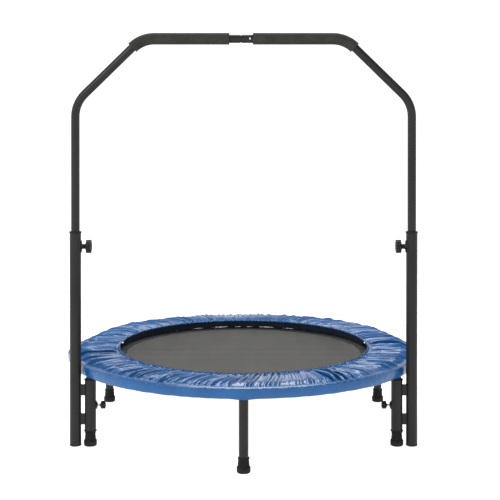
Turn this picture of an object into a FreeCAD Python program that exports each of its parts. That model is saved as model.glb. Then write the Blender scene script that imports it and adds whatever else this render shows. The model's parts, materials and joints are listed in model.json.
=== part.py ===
"""Mini trampoline with a height-adjustable handrail, in millimetres.

+Z is up and Z = 0 is the floor. The origin is under the middle of the round frame.
+Y points away from the handrail, and the frame folds about two lines parallel to X.
"""
import FreeCAD, Part
import math
import os

V = FreeCAD.Vector
X_AXIS = V(1, 0, 0)
Y_AXIS = V(0, 1, 0)
Z_AXIS = V(0, 0, 1)

# ---- Driving dimensions ----
RING_RADIUS = 495.0        # centre line of the round frame
RING_TUBE_R = 12.7
RING_HEIGHT = 209.0        # centre line of the ring, and the plane of the mat
TUBE_WALL = 1.5
FOLD_HALF_SPAN = 36.0      # the two pivots of a hinge bracket are at Y = -36 and +36

LEG_TUBE_R = 12.5
LEG_FOOT_HEIGHT = 39.5
FRONT_LEG_ANGLES = {"left": 210.0, "centre": 270.0, "right": 330.0}
REAR_LEG_ANGLES = {"left": 150.0, "centre": 90.0, "right": 30.0}

UPRIGHT_TUBE_R = 15.9
UPRIGHT_GAP = 9.8          # clear gap between an upright and its leg sleeve
UPRIGHT_TOP = 594.0
SLEEVE_TUBE_R = 15.9
SLEEVE_BOTTOM = 43.5
SLEEVE_TOP = 183.5
PLATE_SPANS = ((60.0, 88.5), (141.0, 170.0))
UPPER_KNOB_HEIGHT = 557.0
LOWER_KNOB_HEIGHT = 113.0
UPPER_SCREW_R = 3.95
LOWER_SCREW_R = 2.9

HANDLE_TUBE_R = 12.0
HANDLE_BOTTOM = 456.0
HANDLE_LOW_CORNER_Z = 957.0
HANDLE_TOP_Z = 1137.5
HANDLE_TOP_CORNER_X = 285.0
HANDLE_BEND_R = 88.0
GRIP_R = 16.6
GRIP_PAST_CORNER = 36.0    # how far each grip runs down the slope past the upper corner
JOIN_X = -7.0              # where the two handle tubes meet
JOIN_GAP = 3.0
BUTTON_X = 18.0
BUTTON_R = 3.0
GRIP_LEFT_END_X = -40.0
GRIP_RIGHT_END_X = 26.0

MAT_RADIUS = 399.0
MAT_THICK = 1.4
BAND_WIDTH = 36.0
CREASE_GAP = 1.8
V_RING_HALF_WIDTH = 9.0
SPRINGS_PER_HALF = 16
SPRING_R = 5.5
SPRING_WIRE_R = 1.1
SPRING_END_GAP = 11.0      # from the end of a spring's coils to the ring tube

PAD_INNER_R = 371.0
PAD_OUTER_R = 510.0
PAD_TOP = 237.0
PAD_LIP_BOTTOM = 230.0     # the elastic lifts the cover's inner edge clear of the mat
PAD_OVER_SPRINGS = 217.0   # underside of the cover over the springs
SKIRT_BOTTOM = 191.0
SKIRT_THICK = 2.0
PAD_END_ANGLE = 7.0        # each pad half stops this far short of the hinge line

# ---- Sizes worked out from them ----
TUBE_INNER = {r: r - TUBE_WALL for r in (RING_TUBE_R, LEG_TUBE_R, UPRIGHT_TUBE_R, HANDLE_TUBE_R)}
RING_BOTTOM = RING_HEIGHT - RING_TUBE_R
LEG_TOP = RING_BOTTOM - 9.0
SIDE_LEG_X = RING_RADIUS * math.cos(math.radians(30))
SIDE_LEG_Y = -RING_RADIUS * math.sin(math.radians(30))
UPRIGHT_X = SIDE_LEG_X + SLEEVE_TUBE_R + UPRIGHT_GAP + UPRIGHT_TUBE_R
MAT_PLANE = RING_HEIGHT
SPRING_STEP = 180.0 / SPRINGS_PER_HALF
RING_END_Y = FOLD_HALF_SPAN - RING_TUBE_R   # the rounded end of a half ring reaches this far

shapes = {}


def at(radius, degrees, z=0.0):
    """A point at that radius and bearing about the middle of the trampoline."""
    a = math.radians(degrees)
    return V(radius * math.cos(a), radius * math.sin(a), z)


def cylinder(r, length, base, direction=Z_AXIS):
    return Part.makeCylinder(r, length, base, direction)


def tube(r, length, base, direction=Z_AXIS, wall=TUBE_WALL):
    inner = cylinder(r - wall, length + 2, base - direction * 1, direction)
    return cylinder(r, length, base, direction).cut(inner)


def box(low, high):
    """A box between two opposite corners."""
    return Part.makeBox(high[0] - low[0], high[1] - low[1], high[2] - low[2], V(*low))


def turned(profile_rz, start_deg, sweep_deg):
    """A solid whose section, given as (radius, z) points, is turned about Z over a sweep."""
    points = [V(r, 0, z) for r, z in profile_rz]
    face = Part.Face(Part.makePolygon(points + points[:1]))
    solid = face.revolve(V(0, 0, 0), Z_AXIS, sweep_deg)
    solid.rotate(V(0, 0, 0), Z_AXIS, start_deg)
    return solid


def lathe(profile_rz, base, direction=Z_AXIS):
    """A full turned piece about an axis through base: points are (radius, distance along it)."""
    solid = turned(profile_rz, 0, 360)
    solid.Placement = FreeCAD.Placement(base, FreeCAD.Rotation(Z_AXIS, direction)).multiply(solid.Placement)
    return solid


def save(name, *solids):
    """Keeps one node: a single solid, or several separate ones as a group."""
    shapes[name] = solids[0] if len(solids) == 1 else Part.makeCompound(list(solids))


def mirrored(shape):
    """The same shape on the other side of the X = 0 plane."""
    return shape.mirror(V(0, 0, 0), X_AXIS)


def save_pair(name, left):
    save(name + "_left", left)
    save(name + "_right", mirrored(left))


# ---- Frame ----
def spring_angles(start):
    return [start + SPRING_STEP * (i + 0.5) for i in range(SPRINGS_PER_HALF)]


def half_ring(start):
    """One half of the round frame, from the bearing start on, with rounded and drilled ends."""
    end_angle = math.degrees(math.asin(RING_END_Y / RING_RADIUS))
    centre = V(RING_RADIUS, 0, RING_HEIGHT)
    outer, inner = [Part.Face(Part.Wire(Part.makeCircle(r, centre, Y_AXIS)))
                    for r in (RING_TUBE_R, TUBE_INNER[RING_TUBE_R])]
    section = outer.cut(inner).Faces[0]
    ring = section.revolve(V(0, 0, 0), Z_AXIS, 180 - 2 * end_angle)
    ring.rotate(V(0, 0, 0), Z_AXIS, start + end_angle)
    holes = [cylinder(2.6, 22, at(RING_RADIUS - 20, a, RING_HEIGHT), at(1, a)) for a in spring_angles(start)]
    side = 1 if start == 0 else -1
    pivot_y = side * FOLD_HALF_SPAN
    for x in (-RING_RADIUS, RING_RADIUS):
        end_zone = box((x - 20, min(pivot_y, 0), RING_HEIGHT - 20), (x + 20, max(pivot_y, 0), RING_HEIGHT + 20))
        rounding = cylinder(RING_TUBE_R, 40, V(x - 20, pivot_y, RING_HEIGHT), X_AXIS)
        holes.append(end_zone.cut(rounding))
        holes.append(cylinder(4.1, 40, V(x - 20, pivot_y, RING_HEIGHT), X_AXIS))
    return ring.cut(holes)


def leg_boss(angle):
    """The welded boss under the ring with the stud that the leg screws onto."""
    p = at(RING_RADIUS, angle, LEG_TOP)
    ring_core = Part.makeTorus(RING_RADIUS, RING_TUBE_R + 0.02, V(0, 0, RING_HEIGHT), Z_AXIS)
    boss = cylinder(LEG_TUBE_R, RING_HEIGHT - 4 - LEG_TOP, p).cut(ring_core)
    boss = max(boss.Solids, key=lambda s: s.Volume)
    return boss.fuse(cylinder(5, 30, p - V(0, 0, 29))).removeSplitter()


def leg(angle, side_of_sleeve=0):
    """A leg tube. Those inside a sleeve have a hole for the star knob's screw."""
    p = at(RING_RADIUS, angle, 6)
    shape = tube(LEG_TUBE_R, LEG_TOP - 6.2, p)
    if side_of_sleeve:
        screw_hole = cylinder(4.2, 16, V(p.x, p.y, LOWER_KNOB_HEIGHT), V(-side_of_sleeve, 0, 0))
        shape = shape.cut(screw_hole)
    return shape


def leg_plug(angle):
    """The threaded insert in the top of a leg."""
    p = at(RING_RADIUS, angle, LEG_TOP - 32)
    return tube(TUBE_INNER[LEG_TUBE_R], 31, p, wall=TUBE_INNER[LEG_TUBE_R] - 5.05)


def foot(angle):
    """A rubber foot: a bead at the top, a plain body and a wide bulge at the floor."""
    top = LEG_FOOT_HEIGHT
    profile = [(0, 0), (15.5, 0), (17.4, 1.6), (18, 4), (18, 14.6), (17.4, 15.8), (16.3, 16.2), (15.7, 17.0),
               (14.1, top - 5), (14.1, top - 4.4), (15.2, top - 4), (15.2, top - 0.8), (14.6, top),
               (LEG_TUBE_R + 0.05, top), (LEG_TUBE_R + 0.05, 5.8), (0, 5.8)]
    return lathe(profile, at(RING_RADIUS, angle, 0))


def hinge_bracket(side):
    """A U channel, open upwards, that carries both pivots of one side."""
    x = side * RING_RADIUS
    inner = x - side * 15.6
    outer = x + side * 13.3
    plate = 2.4
    reach = FOLD_HALF_SPAN + RING_TUBE_R
    low_x, high_x = sorted((inner - side * plate, outer + side * plate))
    body = box((low_x, -FOLD_HALF_SPAN, RING_BOTTOM - 0.3 - plate),
               (high_x, FOLD_HALF_SPAN, RING_HEIGHT + RING_TUBE_R))
    end_r = RING_TUBE_R + 0.3 + plate
    for y in (-FOLD_HALF_SPAN, FOLD_HALF_SPAN):
        rounded = cylinder(end_r, high_x - low_x, V(low_x, y, RING_HEIGHT), X_AXIS)
        top = box((low_x - 1, -reach - 9, RING_HEIGHT + RING_TUBE_R), (high_x + 1, reach + 9, RING_HEIGHT + 30))
        body = body.fuse(rounded.cut(top))
    channel_x = sorted((inner, outer))
    channel = box((channel_x[0], -reach - 9, RING_BOTTOM - 0.3), (channel_x[1], reach + 9, RING_HEIGHT + 30))
    body = body.cut(channel)
    bores = [cylinder(4.08, 60, V(x - 30, y, RING_HEIGHT), X_AXIS) for y in (-FOLD_HALF_SPAN, FOLD_HALF_SPAN)]
    return body.cut(bores).removeSplitter()


def hinge_bolt(side, y):
    """A pivot bolt: domed head outside, shank through bracket and tube, nut inside."""
    direction = V(-side, 0, 0)
    head_x = side * (RING_RADIUS + 13.3 + 2.4 + 0.3)
    shank_length = 13.3 + 15.6 + 2 * 2.4 + 0.6
    shank = cylinder(4.0, shank_length + 6, V(head_x, y, RING_HEIGHT), direction)
    head = lathe([(0, 0), (7.5, 0), (7.0, 2.2), (4.5, 4.0), (0, 4.6)], V(head_x, y, RING_HEIGHT), V(side, 0, 0))
    nut_face = Part.Face(Part.makePolygon([V(7.5 * math.cos(math.radians(60 * i)),
                                             7.5 * math.sin(math.radians(60 * i)), 0) for i in range(7)]))
    nut = nut_face.extrude(V(0, 0, 6.0))
    nut.Placement = FreeCAD.Placement(V(head_x - side * shank_length, y, RING_HEIGHT),
                                      FreeCAD.Rotation(Z_AXIS, direction))
    return shank.fuse([head, nut]).removeSplitter()


def make_frame():
    for half, start, angles in (("front", 180, FRONT_LEG_ANGLES), ("rear", 0, REAR_LEG_ANGLES)):
        save("ring_" + half, half_ring(start))
        save("leg_bosses_" + half, *[leg_boss(a) for a in angles.values()])
        save("leg_plugs_" + half, *[leg_plug(a) for a in angles.values()])
        side_y = FOLD_HALF_SPAN if half == "rear" else -FOLD_HALF_SPAN
        save("hinge_bolts_" + half, *[hinge_bolt(side, side_y) for side in (-1, 1)])
        for place, angle in angles.items():
            in_sleeve = 0
            if half == "front":
                in_sleeve = {"left": -1, "centre": 0, "right": 1}[place]
            save("leg_{}_{}".format(half, place), leg(angle, in_sleeve))
            save("foot_{}_{}".format(half, place), foot(angle))
    for name, side in (("left", -1), ("right", 1)):
        save("hinge_bracket_" + name, hinge_bracket(side))


# ---- Handrail posts ----
def post_point(z, inboard=0.0):
    """A point on the left upright's axis, or that far inboard of it."""
    return V(-UPRIGHT_X + inboard, SIDE_LEG_Y, z)


def sleeve_point(z, inboard=0.0):
    return V(-SIDE_LEG_X + inboard, SIDE_LEG_Y, z)


def upright():
    shape = tube(UPRIGHT_TUBE_R, UPRIGHT_TOP - 4, post_point(4))
    return shape.cut(cylinder(4.2, 20, post_point(UPPER_KNOB_HEIGHT), X_AXIS))


def upright_cap(side):
    """The plastic plug in the foot of an upright."""
    profile = [(0, 0), (15.0, 0), (16.4, 1.2), (16.4, 4), (14.4, 4), (14.4, 24), (0, 24)]
    p = post_point(0)
    return lathe(profile, V(side * abs(p.x), p.y, 0))


def upright_collar():
    """The plastic guide collar pressed over the top of an upright."""
    bore = HANDLE_TUBE_R + 0.08
    top = UPRIGHT_TOP
    profile = [(bore, top - 26), (14.35, top - 26), (14.35, top), (16.2, top),
               (17.2, top + 0.8), (17.4, top + 4.0), (16.6, top + 5.4), (bore, top + 5.8)]
    return lathe(profile, post_point(0))


def sleeve():
    shape = tube(SLEEVE_TUBE_R, SLEEVE_TOP - SLEEVE_BOTTOM, sleeve_point(SLEEVE_BOTTOM))
    return shape.cut(cylinder(4.2, 20, sleeve_point(LOWER_KNOB_HEIGHT), X_AXIS))


def sleeve_collar(side, z, upwards):
    """A plastic bush at one end of a sleeve, which takes up the play around the leg."""
    bore = LEG_TUBE_R + 0.08
    profile = [(bore, 0), (17.0, 0), (17.8, 0.8), (17.8, 2.4), (17.0, 3.0), (14.35, 3.0),
               (14.35, 18.0), (bore, 18.0)]
    p = sleeve_point(z)
    direction = Z_AXIS if upwards else V(0, 0, -1)
    return lathe(profile, V(side * abs(p.x), p.y, z), direction)


def sleeve_plate(side, span):
    """A flat plate welded across the gap between an upright and its sleeve."""
    low_x, high_x = sorted((side * SIDE_LEG_X, side * UPRIGHT_X))
    plate = box((low_x, SIDE_LEG_Y - 6, span[0]), (high_x, SIDE_LEG_Y + 6, span[1]))
    posts = [cylinder(UPRIGHT_TUBE_R + 0.01, 60, V(side * x, SIDE_LEG_Y, span[0] - 10))
             for x in (SIDE_LEG_X, UPRIGHT_X)]
    return plate.cut(posts)


def saddle_boss(centre, tube_r, height, reach, screw_r):
    """A nut boss for a clamp screw: a curved saddle on the tube with a cone standing on it."""
    saddle = cylinder(tube_r + 2.6, height, centre - V(0, 0, height / 2))
    front = box((centre.x + 4, centre.y - 11, centre.z - height / 2),
                (centre.x + tube_r + 4, centre.y + 11, centre.z + height / 2))
    cone = Part.makeCone(9.5, 7.0, reach - tube_r, V(centre.x + tube_r, centre.y, centre.z), X_AXIS)
    core = cylinder(tube_r + 0.02, height + 20, centre - V(0, 0, height / 2 + 10))
    bore = cylinder(screw_r + 0.25, reach + 20, centre, X_AXIS)
    return saddle.common(front).fuse(cone).cut(core).cut(bore).removeSplitter()


def make_posts():
    save_pair("upright", upright())
    save("upright_caps", *[upright_cap(side) for side in (-1, 1)])
    save_pair("upright_collar", upright_collar())
    save_pair("sleeve", sleeve())
    save("sleeve_collars", *[sleeve_collar(side, z, up) for side in (-1, 1)
                             for z, up in ((SLEEVE_BOTTOM - 3, True), (SLEEVE_TOP + 3, False))])
    save("sleeve_plates", *[sleeve_plate(side, span) for side in (-1, 1) for span in PLATE_SPANS])
    upper = saddle_boss(post_point(UPPER_KNOB_HEIGHT), UPRIGHT_TUBE_R, 32, UPRIGHT_TUBE_R + 6, UPPER_SCREW_R)
    lower = saddle_boss(sleeve_point(LOWER_KNOB_HEIGHT), SLEEVE_TUBE_R, 20, SLEEVE_TUBE_R + 4.5, LOWER_SCREW_R)
    save("upper_bosses", upper, mirrored(upper))
    save("lower_bosses", lower, mirrored(lower))


# ---- Knobs ----
def lobed_disc(radius, depth, lobes, length, base):
    """A knob grip along +X with a wavy rim, extruded from one closed curve."""
    points = []
    for i in range(lobes * 8):
        a = 2 * math.pi * i / (lobes * 8)
        r = radius - depth * (0.5 - 0.5 * math.cos(lobes * a))
        points.append(V(0, r * math.cos(a), r * math.sin(a)))
    rim = Part.BSplineCurve()
    rim.interpolate(points, PeriodicFlag=True)
    face = Part.Face(Part.Wire(rim.toShape()))
    face.translate(base)
    return face.extrude(V(length, 0, 0))


def knob(centre, start, hub_length, radius, depth, lobes, thickness, neck, screw_r):
    """A clamp knob on a tube's inboard side, from distance start out of the tube's axis."""
    p = centre + V(start, 0, 0)
    top = p + V(hub_length, 0, 0)
    hub = lathe([(0, 0), (neck, 0), (neck * 0.9, hub_length * 0.4), (neck * 1.35, hub_length * 0.9),
                 (radius * 0.75, hub_length + 0.5), (0, hub_length + 0.5)], p, X_AXIS)
    grip = lobed_disc(radius, depth, lobes, thickness, top)
    dome = lathe([(0, 0), (radius * 0.72, 0), (radius * 0.6, 1.2), (radius * 0.3, 1.9), (0, 2.1)],
                 top + V(thickness, 0, 0), X_AXIS)
    body = hub.fuse([grip, dome])
    socket = cylinder(screw_r + 0.05, 8, p - V(1, 0, 0), X_AXIS)
    return body.cut(socket).removeSplitter()


def screw(centre, tip, head, screw_r):
    """The knob's screw, from its tip to where it is moulded into the knob."""
    return cylinder(screw_r, head - tip, centre + V(tip, 0, 0), X_AXIS)


def make_knobs():
    upper_start = UPRIGHT_TUBE_R + 6.5
    lower_start = SLEEVE_TUBE_R + 11.5
    upper = post_point(UPPER_KNOB_HEIGHT)
    lower = sleeve_point(LOWER_KNOB_HEIGHT)
    save_pair("knob_upper", knob(upper, upper_start, 8.0, 18.6, 1.3, 14, 14.0, 7.0, UPPER_SCREW_R))
    save_pair("knob_lower", knob(lower, lower_start, 2.5, 11.4, 3.4, 5, 11.5, 5.0, LOWER_SCREW_R))
    save_pair("screw_upper", screw(upper, HANDLE_TUBE_R + 0.4, upper_start + 6.9, UPPER_SCREW_R))
    save_pair("screw_lower", screw(lower, LEG_TUBE_R + 0.4, lower_start + 6.9, LOWER_SCREW_R))


# ---- Handlebar ----
def bend_points(before, corner, after, radius):
    """Where an arc of that radius leaves and joins the two runs at a corner, and its middle."""
    to_before = (before - corner).normalize()
    to_after = (after - corner).normalize()
    half = to_before.getAngle(to_after) / 2
    reach = radius / math.tan(half)
    bisector = (to_before + to_after).normalize()
    centre = corner + bisector * (radius / math.sin(half))
    return corner + to_before * reach, centre - bisector * radius, corner + to_after * reach


def handle_corners(mid_x, bottom):
    """The left handle tube's line: its foot, the two corners, and its end near the middle."""
    y = SIDE_LEG_Y
    return [V(-UPRIGHT_X, y, bottom), V(-UPRIGHT_X, y, HANDLE_LOW_CORNER_Z),
            V(-HANDLE_TOP_CORNER_X, y, HANDLE_TOP_Z), V(mid_x, y, HANDLE_TOP_Z)]


def bent_path(corners, radius):
    edges = []
    last = corners[0]
    for before, corner, after in zip(corners, corners[1:], corners[2:]):
        start, middle, end = bend_points(before, corner, after, radius)
        edges.append(Part.makeLine(last, start))
        edges.append(Part.Arc(start, middle, end).toShape())
        last = end
    edges.append(Part.makeLine(last, corners[-1]))
    return Part.Wire(edges)


def swept(path, radius):
    first = path.Edges[0]
    direction = first.tangentAt(first.FirstParameter)
    circle = Part.Wire(Part.makeCircle(radius, first.valueAt(first.FirstParameter), direction))
    return path.makePipeShell([circle], True, True)


def handle_tube(mid_x):
    path = bent_path(handle_corners(mid_x, HANDLE_BOTTOM), HANDLE_BEND_R)
    return swept(path, HANDLE_TUBE_R).cut(swept(path, TUBE_INNER[HANDLE_TUBE_R]))


def grip(mid_x):
    """A foam grip from near the middle, round the upper corner and a little down the slope."""
    corners = handle_corners(mid_x, HANDLE_BOTTOM)
    down = (corners[1] - corners[2]).normalize()
    path = bent_path([corners[2] + down * GRIP_PAST_CORNER, corners[2], corners[3]], HANDLE_BEND_R)
    return swept(path, GRIP_R).cut(swept(path, HANDLE_TUBE_R + 0.02))


def make_handlebar():
    button_axis = V(BUTTON_X, SIDE_LEG_Y, HANDLE_TOP_Z)
    button_hole = cylinder(BUTTON_R + 0.2, 30, button_axis, V(0, -1, 0))
    save("handle_tube_left", handle_tube(JOIN_X - JOIN_GAP / 2))
    save("handle_tube_right", mirrored(handle_tube(-JOIN_X - JOIN_GAP / 2)).cut(button_hole))
    save("grip_left", grip(GRIP_LEFT_END_X))
    save("grip_right", mirrored(grip(-GRIP_RIGHT_END_X)))
    joiner = tube(TUBE_INNER[HANDLE_TUBE_R] - 0.05, 120, V(JOIN_X - 55, SIDE_LEG_Y, HANDLE_TOP_Z), X_AXIS)
    save("handle_joiner", joiner.cut(button_hole))
    plugs = []
    for side in (-1, 1):
        profile = [(0, 0), (14.1, 0), (14.1, 8), (TUBE_INNER[HANDLE_TUBE_R] - 0.05, 8.2),
                   (TUBE_INNER[HANDLE_TUBE_R] - 0.05, 26), (0, 26)]
        plugs.append(lathe(profile, V(side * UPRIGHT_X, SIDE_LEG_Y, HANDLE_BOTTOM - 8.3)))
    save("slide_plugs", *plugs)
    face_y = SIDE_LEG_Y - HANDLE_TUBE_R
    save("snap_button", lathe([(0, 0), (BUTTON_R, 0), (BUTTON_R, 8.6), (BUTTON_R * 0.8, 10.0), (0, 10.8)],
                              V(BUTTON_X, face_y + 8.0, HANDLE_TOP_Z), V(0, -1, 0)))


# ---- Jumping bed ----
def disc_part(low_y, high_y):
    """The part of the round mat between two lines parallel to X."""
    disc = cylinder(MAT_RADIUS, MAT_THICK, V(0, 0, MAT_PLANE - MAT_THICK / 2))
    keep = box((-500, low_y, MAT_PLANE - 10), (500, high_y, MAT_PLANE + 10))
    return disc.common(keep)


def band_part(low_y, high_y):
    """The webbing sewn under the mat's edge, cut at the same fold lines."""
    top = MAT_PLANE - MAT_THICK / 2
    band = turned([(MAT_RADIUS - BAND_WIDTH, top - 1.6), (MAT_RADIUS, top - 1.6), (MAT_RADIUS, top),
                   (MAT_RADIUS - BAND_WIDTH, top)], 0, 360)
    return band.common(box((-500, low_y, top - 10), (500, high_y, top + 10)))


def spring(angle):
    """A tension spring's outer shape as a thin tube, between its ring and the round frame."""
    start = MAT_RADIUS + 19
    length = RING_RADIUS - RING_TUBE_R - SPRING_END_GAP - start
    return tube(SPRING_R, length, at(start, angle, RING_HEIGHT), at(1, angle), 2 * SPRING_WIRE_R)


def v_ring(angle):
    """A triangular wire ring: its base is under the mat's edge and its point takes the spring."""
    wire_r = 1.8
    base_r = MAT_RADIUS + 1.5 + wire_r
    tip_r = MAT_RADIUS + 17.0
    side = at(1, angle + 90) * V_RING_HALF_WIDTH
    corners = [at(base_r, angle, MAT_PLANE) - side, at(base_r, angle, MAT_PLANE) + side,
               at(tip_r, angle, MAT_PLANE)]
    ring = None
    for a, b in zip(corners, corners[1:] + corners[:1]):
        bar = cylinder(wire_r, (b - a).Length, a, b - a).fuse(Part.makeSphere(wire_r, a))
        ring = bar if ring is None else ring.fuse(bar)
    return ring


def pad_half(start):
    """Half of the padded spring cover: a flat ring with a skirt around the outside."""
    on_ring = RING_HEIGHT + RING_TUBE_R + 0.3
    inner_skirt = PAD_OUTER_R - SKIRT_THICK
    ring_inside = RING_RADIUS - RING_TUBE_R - 2
    profile = [(PAD_INNER_R, PAD_LIP_BOTTOM), (PAD_INNER_R + 84, PAD_OVER_SPRINGS),
               (ring_inside, PAD_OVER_SPRINGS), (ring_inside + 4, on_ring),
               (inner_skirt, on_ring), (inner_skirt, SKIRT_BOTTOM),
               (PAD_OUTER_R, SKIRT_BOTTOM), (PAD_OUTER_R, PAD_TOP - 15), (PAD_OUTER_R - 4, PAD_TOP - 6),
               (PAD_OUTER_R - 14, PAD_TOP), (PAD_INNER_R + 22, PAD_TOP), (PAD_INNER_R, PAD_LIP_BOTTOM + 5)]
    return turned(profile, start + PAD_END_ANGLE, 180 - 2 * PAD_END_ANGLE)


def make_bed():
    crease = FOLD_HALF_SPAN + CREASE_GAP / 2
    inside = FOLD_HALF_SPAN - CREASE_GAP / 2
    save("mat_front", disc_part(-500, -crease))
    save("mat_middle", disc_part(-inside, inside))
    save("mat_rear", disc_part(crease, 500))
    save("mat_band_front", band_part(-500, -crease))
    save("mat_band_rear", band_part(crease, 500))
    for half, start in (("front", 180), ("rear", 0)):
        save("springs_" + half, *[spring(a) for a in spring_angles(start)])
        save("v_rings_" + half, *[v_ring(a) for a in spring_angles(start)])
        save("pad_" + half, pad_half(start))


def main():
    make_frame()
    make_posts()
    make_knobs()
    make_handlebar()
    make_bed()
    os.makedirs("parts", exist_ok=True)
    for name, shape in sorted(shapes.items()):
        if not shape.isValid():
            raise ValueError(name + " is not a valid shape")
        shape.exportStep("parts/" + name + ".step")
    print(len(shapes), "nodes,", sum(len(s.Solids) for s in shapes.values()), "solids")


main()
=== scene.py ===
"""Looks of the mini trampoline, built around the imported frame. Everything is in metres."""
import bpy
import json
import math
import numpy as np
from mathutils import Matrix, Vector


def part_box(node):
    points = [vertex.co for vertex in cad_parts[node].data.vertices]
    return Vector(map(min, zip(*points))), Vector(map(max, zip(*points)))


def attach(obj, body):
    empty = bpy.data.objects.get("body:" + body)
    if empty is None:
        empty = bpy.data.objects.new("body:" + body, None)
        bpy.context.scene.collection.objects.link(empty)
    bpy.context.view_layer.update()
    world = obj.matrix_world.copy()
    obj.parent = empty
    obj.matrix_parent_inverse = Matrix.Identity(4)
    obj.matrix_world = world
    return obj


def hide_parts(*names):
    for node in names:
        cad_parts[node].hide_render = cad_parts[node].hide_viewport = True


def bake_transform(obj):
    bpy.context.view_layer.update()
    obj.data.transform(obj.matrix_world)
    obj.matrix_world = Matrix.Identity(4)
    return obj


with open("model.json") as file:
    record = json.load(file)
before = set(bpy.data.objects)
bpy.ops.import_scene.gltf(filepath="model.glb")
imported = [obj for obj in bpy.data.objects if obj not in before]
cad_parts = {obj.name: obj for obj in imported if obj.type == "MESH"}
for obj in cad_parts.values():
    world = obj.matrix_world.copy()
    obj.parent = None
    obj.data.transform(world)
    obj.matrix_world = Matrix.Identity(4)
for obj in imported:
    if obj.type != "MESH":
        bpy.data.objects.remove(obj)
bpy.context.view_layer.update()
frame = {"nodes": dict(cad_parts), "record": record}
TAU = 2 * math.pi

# ---- Sizes taken from the frame ----
PAD_LOW, PAD_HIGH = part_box("pad_front")
PAD_OUTER = -PAD_LOW.y
PAD_TOP = PAD_HIGH.z
SKIRT_BOTTOM = PAD_LOW.z
MAT_LOW, MAT_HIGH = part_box("mat_middle")
MAT_RADIUS = MAT_HIGH.x
MAT_PLANE = (MAT_LOW.z + MAT_HIGH.z) / 2
FOLD_HALF_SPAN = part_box("hinge_bolts_rear")[0].y + 0.0075   # the bolts' heads are 15 mm across
RING_LOW, RING_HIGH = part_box("ring_front")
RING_TUBE_R = (RING_HIGH.z - RING_LOW.z) / 2
RING_RADIUS = -RING_LOW.y - RING_TUBE_R

# ---- Driving sizes of the looks ----
PAD_INNER = 0.3705
LIP_TOP = PAD_TOP - 0.0020      # the gathered inner edge
LIP_BOTTOM = PAD_TOP - 0.0070
LIP_SAG = 0.0050                # the inner edge hangs lower towards the front
UNDER_SPRINGS = PAD_TOP - 0.0200
UNDER_RING = PAD_TOP - 0.0152
SHOULDER = RING_RADIUS - 0.0250  # the top lies flat as far out as this, then falls to the crease
CREASE_IN = 0.0020              # the crease between the top and the skirt is this far inside the skirt
CREASE_DROP = 0.0165            # and this far below the top
CREASE_TURN = 0.0025            # height of the rounding under it
HEM = SKIRT_BOTTOM + 0.0040     # the cloth ends a little above the solid pad's lowest point
SKIRT_BELLY = 0.0010            # the skirt swells this far between the crease and the hem
HEM_TUCK = 0.0012               # and its hem turns in this far
BACK_LIFT = 0.0100              # the cover puffs up this far at the back
SIDE_BULGE = 0.0120             # and stands out this far at the left
SHADE_DRAPE_CLEAR = 0.0064          # from the mat up to the lower edge of the elastic, which hangs as a dark drape standing in for the shade under the inner edge
ELASTIC_THICK = 0.0012
# Underside of the cover where it rests on the frame's tube: radius and height.
OVER_RING = ((RING_RADIUS - 0.0115, UNDER_RING), (RING_RADIUS, UNDER_RING),
             (RING_RADIUS + 0.0050, UNDER_RING - 0.0004), (PAD_OUTER - 0.0022, UNDER_RING - 0.0040))
STITCH_LINE = 0.0100            # from the inner edge to the elastic's row of stitches
SEAM_TURN = math.radians(2.3)   # the two cover halves meet on a line turned this far from X
COLUMNS = 2800                  # round the cover
CLOTH_COLUMNS = COLUMNS // 2    # round the simulated cloth
TOP_ROWS = 36                   # across its top
SIM_FRAMES = 20
SIM_MOST_MOVED = 0.008          # no point of the cloth settles further than this
SPRING_COUNT = 32
COIL_RADIUS = 0.0055
COIL_WIRE = 0.0011
TURN_STEPS = 10                 # points to a turn of the coil
V_RING_TIP = MAT_RADIUS + 0.017
MAT_THICK = 0.0012
BAND_WIDTH = 0.047              # webbing on the mat's edge
BAND_BASE = MAT_PLANE + 0.0004  # its underside
FOLD_REACH = FOLD_HALF_SPAN + 0.038   # the elastic stays up under the cover's edge within about this distance of the middle
MAT_CREASE = 0.0007             # each mat piece stops this far short of the fold line


# ---- Mesh helpers ----
def new_object(name, points, faces, smooth=True):
    mesh = bpy.data.meshes.new(name)
    mesh.from_pydata([tuple(p) for p in points], [], faces)
    mesh.update()
    if smooth:
        mesh.polygons.foreach_set("use_smooth", [True] * len(mesh.polygons))
    obj = bpy.data.objects.new(name, mesh)
    bpy.context.scene.collection.objects.link(obj)
    return obj


def grid_faces(rows, columns, closed_rows=False, closed_columns=False, flip=False):
    """Quads over a grid of points stored row by row."""
    faces = []
    for i in range(rows if closed_rows else rows - 1):
        for j in range(columns if closed_columns else columns - 1):
            a = i * columns + j
            b = i * columns + (j + 1) % columns
            c = ((i + 1) % rows) * columns + (j + 1) % columns
            d = ((i + 1) % rows) * columns + j
            faces.append((d, c, b, a) if flip else (a, b, c, d))
    return faces


def tube_along(points, radius, sides, name):
    """A closed round tube along a polyline, with rounded-off ends."""
    path = np.array(points, float)
    tangents = np.gradient(path, axis=0)
    tangents /= np.linalg.norm(tangents, axis=1)[:, None]
    normal = np.cross(tangents[0], [0.0, 0.0, 1.0])
    if np.linalg.norm(normal) < 1e-3:
        normal = np.cross(tangents[0], [1.0, 0.0, 0.0])
    rings = []
    for tangent, centre in zip(tangents, path):
        normal = normal - tangent * np.dot(normal, tangent)
        normal /= np.linalg.norm(normal)
        side = np.cross(tangent, normal)
        for k in range(sides):
            a = TAU * k / sides
            rings.append(centre + radius * (math.cos(a) * normal + math.sin(a) * side))
    faces = grid_faces(len(path), sides, closed_columns=True, flip=True)
    faces.append(tuple(range(sides)))
    last = (len(path) - 1) * sides
    faces.append(tuple(reversed(range(last, last + sides))))
    return new_object(name, rings, faces)


def polar(radius, angle, z):
    return Vector((radius * math.cos(angle), radius * math.sin(angle), z))


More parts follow.
